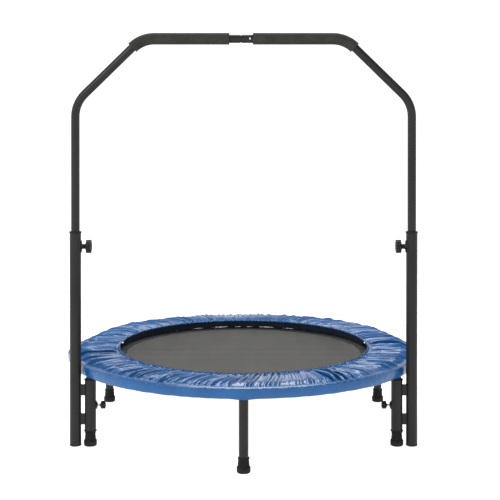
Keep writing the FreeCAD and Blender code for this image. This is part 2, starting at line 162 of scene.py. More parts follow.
# ---- Material helpers ----
class Shader:
    """A material with one Principled shader, and short calls for the nodes that feed it."""

    def __init__(self, name, **values):
        self.material = bpy.data.materials.new(name)
        self.material.use_nodes = True
        self.tree = self.material.node_tree
        self.main = self.tree.nodes["Principled BSDF"]
        for socket, value in values.items():
            self.main.inputs[socket.replace("_", " ")].default_value = value
        self.place = self.tree.nodes.new("ShaderNodeTexCoord").outputs["Object"]

    def node(self, kind, inputs=(), **settings):
        made = self.tree.nodes.new(kind)
        for key, value in settings.items():
            setattr(made, key, value)
        for socket, value in dict(inputs).items():
            if isinstance(value, bpy.types.NodeSocket):
                self.tree.links.new(value, made.inputs[socket])
            else:
                made.inputs[socket].default_value = value
        return made

    def noise(self, scale, detail=4.0, roughness=0.5, place=None):
        inputs = {"Vector": place or self.place, "Scale": scale, "Detail": detail, "Roughness": roughness}
        return self.node("ShaderNodeTexNoise", inputs).outputs["Fac"]

    def ramp(self, value, low, high, to_low=0.0, to_high=1.0):
        inputs = {"Value": value, "From Min": low, "From Max": high, "To Min": to_low, "To Max": to_high}
        return self.node("ShaderNodeMapRange", inputs).outputs["Result"]

    def math(self, operation, a, b=0.0):
        return self.node("ShaderNodeMath", {0: a, 1: b}, operation=operation).outputs[0]

    def mix(self, factor, a, b):
        made = self.node("ShaderNodeMix", {0: factor, 6: a, 7: b}, data_type="RGBA")
        return made.outputs[2]

    def stretch(self, scale):
        """Object coordinates scaled unevenly, for streaks and weaves."""
        return self.node("ShaderNodeMapping", {"Vector": self.place, "Scale": scale}).outputs["Vector"]

    def feed(self, socket, value):
        self.tree.links.new(value, self.main.inputs[socket])

    def bump(self, height, strength, distance, before=None):
        inputs = {"Height": height, "Strength": strength, "Distance": distance}
        if before is not None:
            inputs["Normal"] = before
        normal = self.node("ShaderNodeBump", inputs).outputs["Normal"]
        self.feed("Normal", normal)
        return normal


def colour(r, g, b):
    return (r, g, b, 1.0)


def powder_coat(name, base, rough):
    """Satin powder coat: an orange-peel skin, faint blotches and a few dull rub marks."""
    s = Shader(name, Specular_IOR_Level=0.24)
    blotch = s.noise(9.0, 5.0)
    tone = s.ramp(blotch, 0.3, 0.7)
    s.feed("Base Color", s.mix(tone, colour(*[c * 0.8 for c in base]), colour(*[c * 1.25 for c in base])))
    rubbed = s.ramp(s.noise(38.0, 6.0, 0.65), 0.52, 0.72)
    s.feed("Roughness", s.ramp(rubbed, 0.0, 1.0, rough, rough + 0.14))
    s.bump(s.noise(750.0, 2.0), 0.22, 0.0004)
    return s.material


def moulded_plastic():
    s = Shader("moulded_plastic", Specular_IOR_Level=0.25)
    tone = s.ramp(s.noise(22.0, 4.0), 0.3, 0.7)
    s.feed("Base Color", s.mix(tone, colour(0.004, 0.004, 0.004), colour(0.008, 0.008, 0.008)))
    s.feed("Roughness", s.ramp(s.noise(60.0, 3.0), 0.3, 0.7, 0.42, 0.58))
    s.bump(s.noise(1400.0, 2.0), 0.3, 0.0003)
    return s.material


def foot_rubber():
    """Matt rubber, with pale dust worked in near the floor."""
    s = Shader("foot_rubber", Specular_IOR_Level=0.18)
    height = s.node("ShaderNodeSeparateXYZ", {0: s.place}).outputs["Z"]
    low = s.ramp(height, 0.0, 0.02, 1.0, 0.0)
    dust = s.math("MULTIPLY", low, s.ramp(s.noise(130.0, 5.0, 0.6), 0.42, 0.7))
    s.feed("Base Color", s.mix(dust, colour(0.008, 0.008, 0.008), colour(0.035, 0.033, 0.030)))
    s.feed("Roughness", s.ramp(s.noise(90.0, 3.0), 0.3, 0.7, 0.62, 0.8))
    s.bump(s.noise(900.0, 3.0), 0.3, 0.0004)
    return s.material


def grip_foam():
    """Closed-cell foam: a fine open skin of tiny cells over slow dents."""
    s = Shader("grip_foam", Specular_IOR_Level=0.22, Sheen_Weight=0.03, Sheen_Roughness=0.5)
    tone = s.ramp(s.noise(28.0, 5.0), 0.3, 0.7)
    s.feed("Base Color", s.mix(tone, colour(0.021, 0.021, 0.0185), colour(0.034, 0.034, 0.0300)))
    s.feed("Roughness", s.ramp(s.noise(70.0, 3.0), 0.3, 0.7, 0.72, 0.86))
    cells = s.node("ShaderNodeTexVoronoi", {"Vector": s.place, "Scale": 900.0}).outputs["Distance"]
    fine = s.bump(cells, 0.35, 0.0005)
    s.bump(s.noise(60.0, 3.0), 0.25, 0.0015, fine)
    return s.material


def cover_vinyl():
    """Glossy PVC-coated cloth: a fine calendered grain, painted shade darkening its creases and patchy
    gloss.
    """
    s = Shader("cover_vinyl", Specular_IOR_Level=0.28, Coat_Roughness=0.14, Coat_IOR=1.32)
    tone = s.ramp(s.noise(14.0, 5.0, 0.55), 0.32, 0.68)
    cloth = s.mix(tone, colour(0.0045, 0.070, 0.215), colour(0.0080, 0.096, 0.290))
    # Painted shade: a darker blue laid into the creases, found by pointiness, stands in for the shade that
    # falls in the folds.
    crease_painted_shade = s.mix(tone, colour(0.0016, 0.027, 0.092), colour(0.0026, 0.036, 0.120))
    away_from_crease_shade = s.ramp(s.node("ShaderNodeNewGeometry").outputs["Pointiness"], 0.450, 0.500)
    s.feed("Base Color", s.mix(away_from_crease_shade, crease_painted_shade, cloth))
    s.feed("Coat Weight", s.math("MULTIPLY", away_from_crease_shade, 0.45))
    gloss = s.ramp(s.noise(24.0, 4.0), 0.3, 0.7, 0.50, 0.38)
    s.feed("Roughness", s.math("SUBTRACT", 0.74, s.math("MULTIPLY", away_from_crease_shade, gloss)))
    weave = s.node("ShaderNodeTexVoronoi", {"Vector": s.place, "Scale": 620.0}).outputs["Distance"]
    fine = s.bump(weave, 0.12, 0.0004)
    s.bump(s.noise(75.0, 5.0, 0.6), 0.14, 0.0012, fine)
    return s.material


def mat_weave():
    """Woven polypropylene tape: crossed ribs, with slow light and dark bands in the warp."""
    s = Shader("mat_weave", Specular_IOR_Level=0.25)
    across = s.node("ShaderNodeTexWave", {"Vector": s.place, "Scale": 190.0, "Distortion": 0.4},
                    wave_type="BANDS", bands_direction="X").outputs["Fac"]
    along = s.node("ShaderNodeTexWave", {"Vector": s.place, "Scale": 190.0, "Distortion": 0.4},
                   wave_type="BANDS", bands_direction="Y").outputs["Fac"]
    ribs = s.math("MAXIMUM", across, along)
    streaks = s.noise(1.0, 3.0, 0.5, s.stretch((55.0, 2.5, 1.0)))
    patches = s.noise(5.0, 3.0)
    tone = s.math("ADD", s.math("MULTIPLY", streaks, 0.7), s.math("MULTIPLY", patches, 0.3))
    cloth = s.mix(s.ramp(tone, 0.36, 0.64), colour(0.044, 0.043, 0.039), colour(0.084, 0.083, 0.076))
    s.feed("Base Color", s.mix(s.ramp(ribs, 0.2, 0.9), colour(0.040, 0.039, 0.034), cloth))
    s.feed("Roughness", s.ramp(streaks, 0.3, 0.7, 0.62, 0.76))
    s.bump(ribs, 0.5, 0.0006)
    return s.material


def webbing():
    s = Shader("webbing", Specular_IOR_Level=0.25)
    ribs = s.node("ShaderNodeTexWave", {"Vector": s.place, "Scale": 260.0, "Distortion": 1.0}).outputs["Fac"]
    s.feed("Base Color", s.mix(ribs, colour(0.010, 0.010, 0.010), colour(0.030, 0.030, 0.031)))
    s.feed("Roughness", s.ramp(s.noise(60.0), 0.3, 0.7, 0.7, 0.85))
    s.bump(ribs, 0.5, 0.0005)
    return s.material


def elastic_band():
    """Dark blue knitted elastic."""
    s = Shader("elastic_band", Specular_IOR_Level=0.2)
    ribs = s.node("ShaderNodeTexWave", {"Vector": s.place, "Scale": 300.0, "Distortion": 0.6},
                  bands_direction="Z").outputs["Fac"]
    s.feed("Base Color", s.mix(ribs, colour(0.004, 0.006, 0.011), colour(0.008, 0.013, 0.026)))
    s.feed("Roughness", s.ramp(s.noise(80.0), 0.3, 0.7, 0.7, 0.85))
    s.bump(ribs, 0.4, 0.0003)
    return s.material


def plated_steel(name, base, rough):
    """Bright plated wire and fasteners, a little cloudy."""
    s = Shader(name, Metallic=1.0)
    tone = s.ramp(s.noise(120.0, 4.0), 0.3, 0.7)
    s.feed("Base Color", s.mix(tone, colour(*[c * 0.8 for c in base]), colour(*base)))
    s.feed("Roughness", s.ramp(s.noise(200.0, 4.0), 0.3, 0.7, rough, rough + 0.18))
    s.bump(s.noise(900.0, 2.0), 0.1, 0.0002)
    return s.material


def floor_paint():
    """A pale floor that glows enough to drown its shadows, like a lit sweep."""
    s = Shader("floor_paint", Roughness=0.9, Specular_IOR_Level=0.0, Emission_Strength=1.0)
    s.main.inputs["Emission Color"].default_value = colour(1.0, 1.0, 1.0)
    tone = s.ramp(s.noise(1.5, 3.0), 0.3, 0.7)
    s.feed("Base Color", s.mix(tone, colour(0.44, 0.44, 0.44), colour(0.46, 0.46, 0.46)))
    return s.material


MATERIALS = {
    "frame_steel": powder_coat("frame_powder_coat", (0.012, 0.012, 0.0117), 0.40),
    "handle_steel": powder_coat("handle_powder_coat", (0.014, 0.014, 0.0136), 0.38),
    "zinc_steel": plated_steel("zinc_plate", (0.55, 0.55, 0.56), 0.3),
    "spring_steel": plated_steel("spring_wire", (0.68, 0.68, 0.69), 0.22),
    "button_steel": plated_steel("button_steel", (0.8, 0.8, 0.8), 0.14),
    "black_plastic": moulded_plastic(),
    "foot_rubber": foot_rubber(),
    "grip_foam": grip_foam(),
    "pad_cover": cover_vinyl(),
    "mat_weave": mat_weave(),
    "mat_webbing": webbing(),
}
ELASTIC = elastic_band()


def dress(obj, slot):
    """Gives a new piece the material of the named slot."""
    obj.data.materials.clear()
    obj.data.materials.append(MATERIALS[slot])


def dress_cad_nodes():
    slots = {part["node"]: part["material_slot"] for part in frame["record"]["subparts"]}
    for name, obj in frame["nodes"].items():
        for material_slot in obj.material_slots:
            material_slot.material = MATERIALS[slots[name]]


# ---- Spring cover ----
# Bearings in degrees for the three tables below.
BEARINGS = (0, 45, 90, 135, 180, 225, 270, 296, 304, 316, 340, 360)
# How far the pleats lean round the circle on their way out, in radians.
LEANS = (0.0, -0.20, -0.04, 0.20, 0.02, -0.05, -0.12, -0.08, 0.02, 0.10, 0.03, 0.0)
# How deep the narrow pleats and the broad ones are.
FINE_DEPTHS = (0.95, 0.65, 0.85, 0.70, 1.0, 1.1, 1.0, 1.0, 1.0, 1.1, 1.1, 0.95)
BROAD_DEPTHS = (0.7, 1.0, 0.3, 1.0, 0.8, 0.6, 0.5, 0.7, 0.6, 0.6, 0.6, 0.7)
# Folds that lie over their neighbours: bearing in degrees, side they rise on, height, width.
LIP_FOLDS = ((194.0, -1, 0.0095, 0.028), (3.1, 1, 0.0085, 0.028), (299.6, 1, 0.0060, 0.007),
             (302.0, 1, 0.0075, 0.007), (304.4, 1, 0.0075, 0.007), (307.2, 1, 0.0060, 0.007))
CLOTH_SETTINGS = {"quality": 5, "mass": 0.2, "tension_stiffness": 25, "compression_stiffness": 25,
                  "shear_stiffness": 10, "bending_stiffness": 0.25, "tension_damping": 12,
                  "compression_damping": 12, "shear_damping": 12, "air_damping": 2}
BUNCH_BEARING = math.radians(304)   # where the extra cloth bunches up
BULGE_BEARING = math.radians(184)   # where the cover stands out at the side
LEG_BEARING = math.radians(270)     # the hem dips by this leg


def by_bearing(values, angles):
    return np.interp(np.degrees(angles) % 360, BEARINGS, values)


def ripple(angles, low, high, count, seed):
    """A smooth random wave round the circle, built from whole-number frequencies."""
    rng = np.random.default_rng(seed)
    waves = rng.integers(low, high, count)
    phases = rng.uniform(0, TAU, count)
    heights = rng.uniform(0.5, 1.0, count)
    total = np.zeros(np.shape(angles))
    for wave, phase, height in zip(waves, phases, heights):
        total += height * np.sin(wave * angles + phase)
    return total / math.sqrt(count)


def wrapped(angle):
    return (angle + math.pi) % TAU - math.pi


def smooth_step(value):
    value = np.clip(value, 0.0, 1.0)
    return value * value * (3 - 2 * value)


def top_radius(share):
    """Radius on the cover's top: share 0 is its inner edge, 1 is the crease."""
    return PAD_INNER + (PAD_OUTER - CREASE_IN - PAD_INNER) * share


def top_height(radius):
    """Height of the smooth top: flat, then falling over the frame's tube to the crease."""
    fall = np.clip((radius - SHOULDER) / (PAD_OUTER - CREASE_IN - SHOULDER), 0.0, 1.0)
    return PAD_TOP - CREASE_DROP * fall ** 1.5


def add_pleat(height, angles, share, start, lean, width, depth, near, far):
    """One pleat: a ridge with a valley on one side, from near to far across the cover."""
    away = wrapped(angles - start - lean * share) * top_radius(share)
    spread = width * (1 + 0.4 * share)
    fade = smooth_step((share - near) / 0.08 + 0.5) * smooth_step((far - share) / 0.25)
    ridge = np.exp(-(away / spread) ** 2)
    valley = np.exp(-((away - 1.7 * spread) / (0.8 * spread)) ** 2)
    height += depth * fade * (ridge - 0.75 * valley)


def pleats(angles, share, count, width, depth, depths, leaning, seed):
    """The relief of a whole round of pleats of one size, each a little different."""
    rng = np.random.default_rng(seed)
    height = np.zeros(np.broadcast(angles, share).shape)
    for i in range(count):
        start = TAU * (i + rng.uniform(-0.45, 0.45)) / count
        lean = leaning * by_bearing(LEANS, start) + rng.normal(0, 0.015)
        size = rng.uniform(0.45, 1.0) * by_bearing(depths, start)
        reach = rng.uniform(0.7, 2.0)
        near = 0.0 if rng.uniform() < 0.8 else rng.uniform(0.1, 0.4)
        add_pleat(height, angles, share, start, lean, width * rng.uniform(0.75, 1.3),
                  depth * size, near, reach)
    return height


def side_bulge(angles):
    return SIDE_BULGE * np.exp(-(wrapped(angles - BULGE_BEARING) / 0.11) ** 2)


def lip_fold(angles, share, bearing, side, depth, spread):
    """A fold lying over its neighbour: how far each point rises, and turns to overhang the groove."""
    away = side * wrapped(angles - math.radians(bearing)) * top_radius(share)
    along = smooth_step((share - 0.06) / 0.14) * smooth_step((1.10 - share) / 0.10)
    rise = smooth_step(away / 0.0030) * np.exp(-np.maximum(away, 0) / spread)
    groove = np.exp(-((away + 0.0020) / 0.0032) ** 2)
    overhang = 0.0065 * np.exp(-((away - 0.0035) / 0.0030) ** 2)
    return along * (depth * rise - 0.0080 * groove), -side * along * overhang / top_radius(share)


def gather_growth(angles, share):
    """How much extra cloth there is: most by the gathered inner edge, with a local bunch."""
    bunch = np.exp(-(wrapped(angles - BUNCH_BEARING) / 0.12) ** 2)
    slow = 0.5 + 0.5 * ripple(angles, 2, 9, 6, 5)
    inner = np.exp(-share / 0.22)
    return np.clip(0.20 * inner + 0.06 + 0.06 * slow * (1 - share) + 0.10 * bunch, 0.02, 0.4)


def row_shares():
    """Rows of the top, closer together at its inner edge and by the crease."""
    steps = np.linspace(0, 1, TOP_ROWS)
    return (0.5 * steps + 0.5 * smooth_step(steps))[:, None]


def lip_drop(angles):
    """How far the inner edge hangs below its usual height; it is lifted at the back."""
    return LIP_SAG * (0.5 - 0.5 * np.sin(angles)) ** 2 - 0.25 * back_lift(angles)


def back_lift(angles):
    return BACK_LIFT * smooth_step(np.sin(angles) / 0.7)


def round_angles(count):
    return np.arange(count) * TAU / count


def top_start():
    """The top of the cover before it settles: points by row (inwards out) and column."""
    angles = round_angles(CLOTH_COLUMNS)[None, :]
    share = row_shares()
    radius = top_radius(share) + side_bulge(angles) * smooth_step((share - 0.4) / 0.6)
    rise = smooth_step(share / 0.30)
    base = top_height(top_radius(share)) + back_lift(angles) * rise * (1 - share ** 10)
    base -= (PAD_TOP - LIP_TOP + lip_drop(angles)) * (1 - rise)
    relief = pleats(angles, share, 80, 0.0100, 0.0034, BROAD_DEPTHS, 1.2, 17)
    z = base + relief * smooth_step(share / 0.08) * smooth_step((1.10 - share) / 0.16)
    return np.stack([radius * np.cos(angles), radius * np.sin(angles), z], axis=-1), angles[0], share


def doubled(points):
    """Twice the columns of a closed round grid, with the new ones on smooth curves."""
    before = np.roll(points, 1, axis=1)
    after = np.roll(points, -1, axis=1)
    beyond = np.roll(points, -2, axis=1)
    between = (9 * (points + after) - before - beyond) / 16
    return np.stack([points, between], axis=2).reshape(len(points), -1, 3)


def with_fine_relief(points):
    """Adds the narrow pleats, the overlying folds, the ruffled edge and the dent of its stitches."""
    angles = round_angles(COLUMNS)[None, :]
    share = row_shares()
    from_edge = top_radius(share) - PAD_INNER
    edge = np.exp(-from_edge / 0.007)
    stitch = np.exp(-((from_edge - STITCH_LINE) / 0.0024) ** 2)
    relief = pleats(angles, share, 320, 0.0026, 0.0036, FINE_DEPTHS, 1.0, 29)
    turn = np.zeros(relief.shape)
    for bearing, side, depth, spread in LIP_FOLDS:
        lift, lean = lip_fold(angles, share, bearing, side, depth, spread)
        relief += lift
        turn += lean
    relief = relief * (1 - 0.5 * edge) * smooth_step((1.10 - share) / 0.26)
    relief += 0.0016 * edge * ripple(angles, 150, 300, 30, 8) - 0.0026 * stitch
    points = points.copy()
    radius = np.hypot(points[:, :, 0], points[:, :, 1])
    least = np.interp(radius - side_bulge(angles), *zip(*OVER_RING)) + 0.0008
    points[:, :, 2] = np.maximum(points[:, :, 2] + relief, least)
    radius += 0.0013 * edge * ripple(angles, 120, 260, 30, 9)
    turn += np.arctan2(points[:, :, 1], points[:, :, 0])
    points[:, :, 0] = radius * np.cos(turn)
    points[:, :, 1] = radius * np.sin(turn)
    return points


def gathered_top():
    """The cover's top after its cloth, cut too long, settles between its two edges."""
    points, angles, share = top_start()
    flat = points.reshape(-1, 3)
    cloth = new_object("cover_cloth", flat, grid_faces(TOP_ROWS, CLOTH_COLUMNS, closed_columns=True))
    pin = cloth.vertex_groups.new(name="pin")
    pin.add(list(range(CLOTH_COLUMNS)), 1.0, "REPLACE")
    last = (TOP_ROWS - 1) * CLOTH_COLUMNS
    pin.add(list(range(last, last + CLOTH_COLUMNS)), 1.0, "REPLACE")
    growth = gather_growth(angles[None, :], share)
    most = float(growth.max())
    grow = cloth.vertex_groups.new(name="grow")
    for index, weight in enumerate((growth / most).reshape(-1)):
        grow.add([index], float(weight), "REPLACE")
    base_rows = (PAD_INNER - 0.02, 0.45, SHOULDER, 0.500, 0.505, PAD_OUTER)
    base_points = [polar(r, a, top_height(r) - 0.008) for r in base_rows for a in angles[::10]]
    base = new_object("cover_base", base_points,
                      grid_faces(len(base_rows), len(angles[::10]), closed_columns=True))
    base.modifiers.new("Collision", "COLLISION")
    base.collision.thickness_outer = 0.001
    modifier = cloth.modifiers.new("Cloth", "CLOTH")
    settings = modifier.settings
    for key, value in CLOTH_SETTINGS.items():
        setattr(settings, key, value)
    settings.vertex_group_mass = "pin"
    settings.vertex_group_shrink = "grow"
    settings.shrink_min = 0.0
    settings.shrink_max = -most
    modifier.collision_settings.distance_min = 0.001
    modifier.collision_settings.collision_quality = 2
    modifier.point_cache.frame_end = SIM_FRAMES
    scene = bpy.context.scene
    for step in range(1, SIM_FRAMES + 1):
        scene.frame_set(step)
    settled = cloth.evaluated_get(bpy.context.evaluated_depsgraph_get())
    found = np.zeros(len(flat) * 3)
    settled.data.vertices.foreach_get("co", found)
    found = found.reshape(TOP_ROWS, CLOTH_COLUMNS, 3)
    for piece in (cloth, base):
        bpy.data.objects.remove(piece)
    scene.frame_set(1)
    moved = found - points
    length = np.linalg.norm(moved, axis=-1, keepdims=True)
    moved *= np.minimum(1.0, SIM_MOST_MOVED / np.maximum(length, 1e-9))
    return points + moved


def ring_row(radius, z, angles):
    radius = np.broadcast_to(radius, angles.shape)
    z = np.broadcast_to(z, angles.shape)
    return np.stack([radius * np.cos(angles), radius * np.sin(angles), z], axis=-1)


def cover_rows(top, angles):
    """All rows of the closed cover: top from the inner edge out, skirt, hem, inside, underside."""
    outer = PAD_OUTER + side_bulge(angles)
    crease_z = PAD_TOP - CREASE_DROP
    wrinkle = top[-1, :, 2] - crease_z
    rows = list(top)
    for step in range(1, 4):
        a = math.pi / 2 * step / 4
        r = outer - CREASE_IN * (1 - math.sin(a))
        z = crease_z - CREASE_TURN * (1 - math.cos(a)) + wrinkle * math.cos(a)
        rows.append(ring_row(r, z, angles))
    sway = 0.0007 * ripple(angles, 6, 26, 12, 21)
    tight = 0.0003 * ripple(angles, 60, 140, 20, 22)
    leg_bulge = np.exp(-(wrapped(angles - LEG_BEARING) / 0.045) ** 2)
    hem_wave = 0.0004 * ripple(angles, 40, 110, 24, 23) - 0.0030 * leg_bulge
    skirt_top = crease_z - CREASE_TURN
    for step in range(10):
        t = step / 9
        z = skirt_top + (HEM - skirt_top) * t + hem_wave * t ** 3
        belly = math.sin(math.pi * t)
        r = outer + SKIRT_BELLY * belly + sway * t + tight * belly - HEM_TUCK * t ** 3
        rows.append(ring_row(r, z, angles))
    for drop, inset in ((0.0012, 0.0014), (0.0004, 0.0024), (-0.004, 0.0028)):
        z = HEM - drop + hem_wave
        rows.append(ring_row(outer - HEM_TUCK + sway - inset, z, angles))
    rows.append(ring_row(outer - 0.0016, HEM + 0.010, angles))
    for r, z in reversed(OVER_RING):
        rows.append(ring_row(r, z, angles))
    for r, z in ((RING_RADIUS - 0.016, UNDER_SPRINGS), (PAD_INNER + 0.084, UNDER_SPRINGS)):
        rows.append(ring_row(r, z, angles))
    edge_r = np.hypot(top[0, :, 0], top[0, :, 1])
    low = LIP_BOTTOM - lip_drop(angles)
    rows.append(ring_row(PAD_INNER + 0.042, (UNDER_SPRINGS + low) / 2, angles))
    rows.append(ring_row(edge_r + 0.004, low - 0.0002, angles))
    rows.append(ring_row(edge_r - 0.0006, low + 0.0006, angles))
    rows.append(ring_row(edge_r - 0.0012, (low + top[0, :, 2]) / 2, angles))
    return np.array(rows)


def cover_half(name, rows, first_column, body_pair, start, end):
    """One half of the cover, cut out of the full round rows and closed at both ends."""
    half = COLUMNS // 2
    columns = [(first_column + j) % COLUMNS for j in range(half + 1)]
    part = rows[:, columns, :].copy()
    middle = part.mean(axis=0, keepdims=True)
    for k, pull in ((0, 0.12), (1, 0.05), (2, 0.02)):
        for column in (k, half - k):
            part[:, column, :] += (middle[:, column, :] - part[:, column, :]) * [0, 0, pull]
    count_rows, count_columns = part.shape[:2]
    faces = grid_faces(count_rows, count_columns, closed_rows=True, flip=True)
    faces.append(tuple(i * count_columns for i in range(count_rows)))
    faces.append(tuple(i * count_columns + count_columns - 1 for i in reversed(range(count_rows))))
    cover = new_object(name, part.reshape(-1, 3), faces)
    dress(cover, "pad_cover")
    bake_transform(cover)
    return cover


def stitches(name, first, last, body_pair, start, end):
    """A row of raised stitches just under the crease, between two bearings."""
    points = []
    faces = []
    spacing = 0.0075 / PAD_OUTER
    z = PAD_TOP - CREASE_DROP - 0.6 * CREASE_TURN
    out = Vector((0.8, 0, 0.6))
    down = Vector((0.6, 0, -0.8))
    for i in range(int((last - first) / spacing)):
        turn = first + (i + 0.5) * spacing
        r = PAD_OUTER - 0.0003 + float(side_bulge(turn))
        base = len(points)
        for along, lift in ((-0.0018, 0.0), (-0.0010, 0.0005), (0.0010, 0.0005), (0.0018, 0.0)):
            for side in (-0.00035, 0.00035):
                local = Vector((r, along, z)) + out * lift + down * side
                points.append((local.x * math.cos(turn) - local.y * math.sin(turn),
                               local.x * math.sin(turn) + local.y * math.cos(turn), local.z))
        faces += [tuple(base + k for k in quad) for quad in
                  ((0, 1, 3, 2), (2, 3, 5, 4), (4, 5, 7, 6), (0, 2, 4, 6), (1, 7, 5, 3), (0, 6, 7, 1))]
    thread = new_object(name, points, faces, smooth=False)
    dress(thread, "pad_cover")
    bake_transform(thread)
    return thread


def elastic(name, edge, first_column, body_pair, start, end):
    """The dark elastic band under the gathered inner edge, drawn up clear of the mat at the fold. Away from
    the fold it hangs down close to the mat, a dark drape that stands in for the shade under the edge.
    """
    columns = [(first_column + j) % COLUMNS for j in range(0, COLUMNS // 2 + 1, 4)]
    points = []
    for column in columns:
        x, y, _ = edge[column]
        angle = math.atan2(y, x)
        r = math.hypot(x, y) + ELASTIC_THICK
        lip = LIP_BOTTOM - float(lip_drop(angle))
        # Painted shade: away from the fold the band hangs down to just above the mat, a dark drape where the
        # shade under the edge falls.
        hang = float(smooth_step((abs(y) - FOLD_REACH + 0.014) / 0.012))
        low = lip - 0.0005 - (lip - 0.0005 - MAT_PLANE - SHADE_DRAPE_CLEAR) * hang
        high = lip + ELASTIC_THICK
        points += [polar(r, angle, high), polar(r + ELASTIC_THICK, angle, high),
                   polar(r + ELASTIC_THICK, angle, low), polar(r, angle, low)]
    faces = grid_faces(len(columns), 4, closed_columns=True)
    last = 4 * (len(columns) - 1)
    faces.append((3, 2, 1, 0))
    faces.append((last, last + 1, last + 2, last + 3))
    band = new_object(name, points, faces, smooth=False)
    band.data.materials.append(ELASTIC)
    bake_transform(band)
    return band


def make_covers():
    angles = round_angles(COLUMNS)
    top = with_fine_relief(doubled(gathered_top()))
    rows = cover_rows(top, angles)
    seam = round(COLUMNS * SEAM_TURN / TAU)
    turn = seam * TAU / COLUMNS
    rear_fold = ("hinge_link", "rear_frame"), (0, 0.0, MAT_PLANE), (0, FOLD_REACH, MAT_PLANE)
    front_fold = ("front_frame", "hinge_link"), (0, -FOLD_REACH, MAT_PLANE), (0, 0.0, MAT_PLANE)
    for half, fold, first_column, first in (("rear", rear_fold, seam, turn),
                                            ("front", front_fold, seam + COLUMNS // 2, turn + math.pi)):
        for piece in (cover_half("cover_" + half, rows, first_column, *fold),
                      elastic("elastic_" + half, top[0], first_column, *fold),
                      stitches("stitching_" + half, first + 0.01, first + math.pi - 0.01, *fold)):
            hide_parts("pad_" + half)


# ---- Mat ----
def scalloped(radius, angle):
    """The mat's edge is drawn in a little between its rings."""
    dip = 0.5 - 0.5 * math.cos(SPRING_COUNT * (angle - math.pi / SPRING_COUNT))
    return radius * (1 - 0.009 * dip * (radius / MAT_RADIUS) ** 14)


def mat_piece(name, low_y, high_y, body):
    """A stretch of the mat between two fold lines, as a thin closed sheet."""
    rows = max(12, int((high_y - low_y) / 0.006))
    columns = 240
    points = []
    for z in (MAT_PLANE + MAT_THICK / 2, MAT_PLANE - MAT_THICK / 2):
        for y in np.linspace(low_y, high_y, rows):
            half_width = math.sqrt(max(MAT_RADIUS ** 2 - y * y, 1e-6))
            for x in np.linspace(-half_width, half_width, columns):
                r = math.hypot(x, y)
                pull = scalloped(r, math.atan2(y, x)) / r
                points.append((x * pull, y * pull, z))
    faces = grid_faces(rows, columns)
    count = rows * columns
    faces += [tuple(count + k for k in reversed(face)) for face in grid_faces(rows, columns)]
    rim = list(range(columns)) + [i * columns + columns - 1 for i in range(1, rows)]
    rim += [count - 1 - k for k in range(1, columns)] + [i * columns for i in range(rows - 2, 0, -1)]
    for a, b in zip(rim, rim[1:] + rim[:1]):
        faces.append((b, a, count + a, count + b))
    mat = new_object(name, points, faces, smooth=False)
    dress(mat, "mat_weave")
    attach(mat, body)
    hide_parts(name.replace("cloth", "mat"))
    return mat


def strip_area(low_y, high_y):
    """The area of the round mat between two lines parallel to X."""
    def below(y):
        return y * math.sqrt(MAT_RADIUS ** 2 - y * y) + MAT_RADIUS ** 2 * math.asin(y / MAT_RADIUS)

    return below(high_y) - below(low_y)


def band_piece(name, first, last, body):
    """Webbing laid on the mat's edge between two bearings, with a slightly raised hem."""
    steps = max(4, int((last - first) / math.radians(0.75)))
    shape = ((0.0, 0.0002), (0.0006, 0.0013), (0.020, 0.0012), (0.0445, 0.0013), (BAND_WIDTH, 0.0002))
    points = []
    for i in range(steps + 1):
        a = first + (last - first) * i / steps
        edge = scalloped(MAT_RADIUS, a)
        for across, height in shape:
            points.append(polar(edge - BAND_WIDTH + across, a, BAND_BASE + height))
        points.append(polar(edge - BAND_WIDTH / 2, a, BAND_BASE))
    count = len(shape) + 1
    faces = grid_faces(steps + 1, count, closed_columns=True, flip=True)
    faces.append(tuple(range(count)))
    faces.append(tuple(reversed(range(steps * count, steps * count + count))))
    band = new_object(name, points, faces, smooth=False)
    dress(band, "mat_webbing")
    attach(band, body)
    return band


def ring_loops(name, bearings, body):
    """Short webbing loops that hold the wire rings to the mat's edge."""
    half_width = 0.0075
    line = ((-0.026, 0.0024), (-0.004, 0.0026), (0.0036, 0.0030), (0.0058, 0.0012), (0.0058, -0.0012),
            (0.0036, -0.0030), (-0.004, -0.0036), (-0.026, -0.0036))
    points = []
    faces = []
    for a in bearings:
        base = len(points)
        for across, height in line:
            for side in (-half_width, half_width):
                r = MAT_RADIUS + across
                y = r * math.sin(a) + side * math.cos(a)
                y = math.copysign(max(abs(y), FOLD_HALF_SPAN + 0.0030), y)
                points.append((r * math.cos(a) - side * math.sin(a), y, MAT_PLANE + height))
        faces += [tuple(base + k for k in face) for face in grid_faces(len(line), 2)]
    loops = new_object(name, points, faces)
    thick = loops.modifiers.new("Thickness", "SOLIDIFY")
    thick.thickness = 0.0007
    thick.offset = 1
    apply_modifiers(loops)
    dress(loops, "mat_webbing")
    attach(loops, body)
    return loops


def apply_modifiers(obj):
    graph = bpy.context.evaluated_depsgraph_get()
    graph.update()
    mesh = bpy.data.meshes.new_from_object(obj.evaluated_get(graph))
    old = obj.data
    obj.modifiers.clear()
    obj.data = mesh
    bpy.data.meshes.remove(old)


def spring_bearings(start):
    return [start + TAU / SPRING_COUNT * (i + 0.5) for i in range(SPRING_COUNT // 2)]


